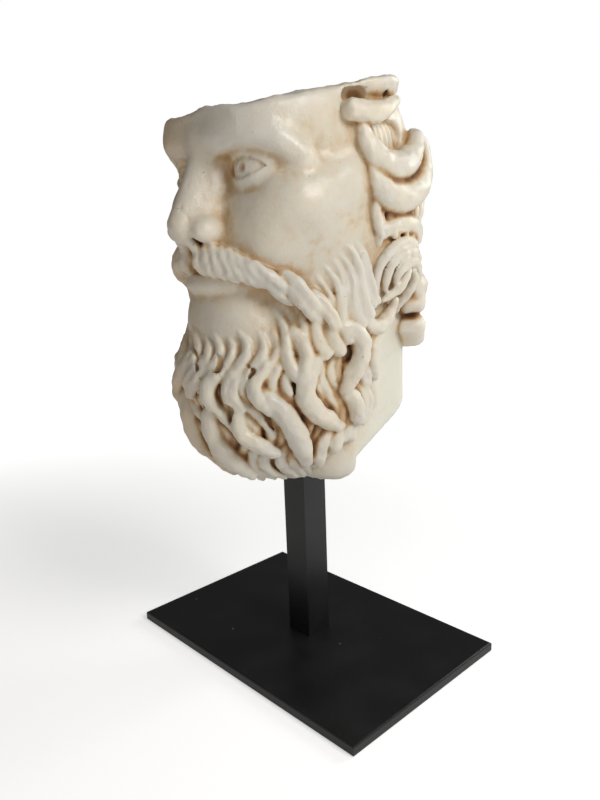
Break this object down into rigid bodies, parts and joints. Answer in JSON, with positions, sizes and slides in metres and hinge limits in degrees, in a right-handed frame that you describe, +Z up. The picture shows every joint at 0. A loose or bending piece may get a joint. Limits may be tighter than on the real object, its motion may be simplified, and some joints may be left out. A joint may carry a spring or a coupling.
{
  "type": "bust of zeus",
  "caption": "Bearded classical head fragment with curled hair and broken crown, held by a square post on a flat rectangular base plate.",
  "frame": {"origin": "centre of the base plate's underside, on the surface that the part stands on", "axes": "+Z up; the face looks along -Y; +X is the head's own left and runs along the plate's long side"},
  "size_m": [0.16, 0.1237, 0.278],
  "materials": {
    "stand": "satin black powder coat on steel",
    "cast": "waxy ivory cast stone with brown patina rubbed into the hollows"
  },
  "bodies": {
    "root": {"base_plate": "stand", "support_post": "stand", "head": "cast"}
  },
  "joints": []
}
